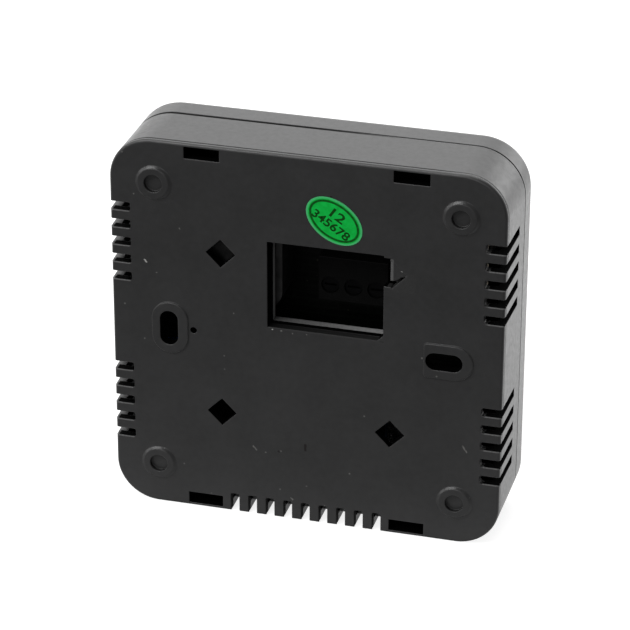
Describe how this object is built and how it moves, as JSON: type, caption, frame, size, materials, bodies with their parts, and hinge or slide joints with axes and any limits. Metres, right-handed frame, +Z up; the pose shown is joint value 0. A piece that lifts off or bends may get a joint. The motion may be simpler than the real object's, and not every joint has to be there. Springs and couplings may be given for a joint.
{
  "type": "wireless boiler programmer",
  "caption": "Square wall-mounted wireless boiler programmer in a two-shell casing, with a display and a row of sprung keys in front and a slotted, vented back plate with a cable opening.",
  "frame": {"origin": "midway between the two wall screw slots, on the outer face of the back plate", "axes": "+X to the right as seen from behind, +Y from the wall towards the front, +Z up"},
  "size_m": [0.086, 0.0237, 0.086],
  "materials": {
    "casing_grey": "fine matt moulded texture",
    "cover_grey": "fine matt moulded texture",
    "key_grey": "satin moulded",
    "sticker_green": "printed film",
    "window_clear": "clear, smoked",
    "panel_glass": "polished",
    "guide_clear": "clear",
    "lamp_white": "moulded",
    "strip_rubber": "striped elastomer",
    "inner_black": "moulded",
    "board_laminate": "black solder mask",
    "radio_laminate": "solder mask",
    "screw_steel": "zinc plated",
    "terminal_steel": "black oxide",
    "clamp_brass": "plated",
    "switch_black": "moulded",
    "plunger_white": "moulded",
    "module_black": "potted block",
    "terminal_black": "moulded",
    "can_aluminium": "rolled can",
    "fuse_body": "coated",
    "varistor_blue": "dipped coating",
    "chip_black": "moulded",
    "can_steel": "pressed",
    "antenna_wire": "tinned wire",
    "cell_steel": "nickel plated",
    "contact_brass": "plated strip",
    "sensor_bead": "dipped bead"
  },
  "bodies": {
    "casing": {"rear_case": "casing_grey", "front_cover": "cover_grey", "inspection_sticker": "sticker_green", "display_window": "window_clear", "display_frame": "inner_black", "display_panel": "panel_glass", "light_guide": "guide_clear", "backlight_lamps": "lamp_white", "upper_elastomer_strip": "strip_rubber", "lower_elastomer_strip": "strip_rubber", "main_board": "board_laminate", "board_screws": "screw_steel", "reset_switch_body": "switch_black", "power_module": "module_black", "terminal_block": "terminal_black", "bulk_capacitor": "can_aluminium", "input_fuse": "fuse_body", "surge_varistor": "varistor_blue", "microcontroller": "chip_black", "clock_crystal": "can_steel", "buzzer": "inner_black", "radio_board": "radio_laminate", "radio_shield": "can_steel", "radio_antenna": "antenna_wire", "cell_holder": "inner_black", "backup_cell": "cell_steel", "cell_contact": "contact_brass", "room_sensor": "sensor_bead", "power_switch_body": "switch_black", "menu_switch_body": "switch_black", "down_switch_body": "switch_black", "up_switch_body": "switch_black", "confirm_switch_body": "switch_black"},
    "power_button": {"power_key": "key_grey", "power_switch_plunger": "plunger_white"},
    "menu_button": {"menu_key": "key_grey", "menu_switch_plunger": "plunger_white"},
    "down_button": {"down_key": "key_grey", "down_switch_plunger": "plunger_white"},
    "up_button": {"up_key": "key_grey", "up_switch_plunger": "plunger_white"},
    "confirm_button": {"confirm_key": "key_grey", "confirm_switch_plunger": "plunger_white"},
    "reset_button": {"reset_plunger": "plunger_white"},
    "left_screw": {"left_terminal_screw": "terminal_steel"},
    "left_clamp": {"left_terminal_clamp": "clamp_brass"},
    "middle_screw": {"middle_terminal_screw": "terminal_steel"},
    "middle_clamp": {"middle_terminal_clamp": "clamp_brass"},
    "right_screw": {"right_terminal_screw": "terminal_steel"},
    "right_clamp": {"right_terminal_clamp": "clamp_brass"}
  },
  "joints": [
    {"name": "power_press", "type": "slide", "parent": "casing", "child": "power_button", "axis": [0, -1, 0], "range_m": [0, 0.0004], "stiffness_N_per_m": 1500},
    {"name": "menu_press", "type": "slide", "parent": "casing", "child": "menu_button", "axis": [0, -1, 0], "range_m": [0, 0.0004], "stiffness_N_per_m": 1500},
    {"name": "down_press", "type": "slide", "parent": "casing", "child": "down_button", "axis": [0, -1, 0], "range_m": [0, 0.0004], "stiffness_N_per_m": 1500},
    {"name": "up_press", "type": "slide", "parent": "casing", "child": "up_button", "axis": [0, -1, 0], "range_m": [0, 0.0004], "stiffness_N_per_m": 1500},
    {"name": "confirm_press", "type": "slide", "parent": "casing", "child": "confirm_button", "axis": [0, -1, 0], "range_m": [0, 0.0004], "stiffness_N_per_m": 1500},
    {"name": "reset_press", "type": "slide", "parent": "casing", "child": "reset_button", "axis": [0, 1, 0], "range_m": [0, 0.0003], "stiffness_N_per_m": 2000},
    {"name": "left_screw_turn", "type": "hinge", "parent": "casing", "child": "left_screw", "pos_m": [0.0035, 0.0095, 0.01115], "axis": [0, 1, 0], "range_deg": [0, 540]},
    {"name": "left_clamp_rise", "type": "slide", "parent": "casing", "child": "left_clamp", "axis": [0, -1, 0], "range_m": [0, 0.00075]},
    {"name": "middle_screw_turn", "type": "hinge", "parent": "casing", "child": "middle_screw", "pos_m": [0.0085, 0.0095, 0.01115], "axis": [0, 1, 0], "range_deg": [0, 540]},
    {"name": "middle_clamp_rise", "type": "slide", "parent": "casing", "child": "middle_clamp", "axis": [0, -1, 0], "range_m": [0, 0.00075]},
    {"name": "right_screw_turn", "type": "hinge", "parent": "casing", "child": "right_screw", "pos_m": [0.0135, 0.0095, 0.01115], "axis": [0, 1, 0], "range_deg": [0, 540]},
    {"name": "right_clamp_rise", "type": "slide", "parent": "casing", "child": "right_clamp", "axis": [0, -1, 0], "range_m": [0, 0.00075]}
  ],
  "couplings": [
    {"joint": "left_screw_turn", "follows": "left_clamp_rise", "rad_per_m": 12566},
    {"joint": "middle_screw_turn", "follows": "middle_clamp_rise", "rad_per_m": 12566},
    {"joint": "right_screw_turn", "follows": "right_clamp_rise", "rad_per_m": 12566}
  ]
}
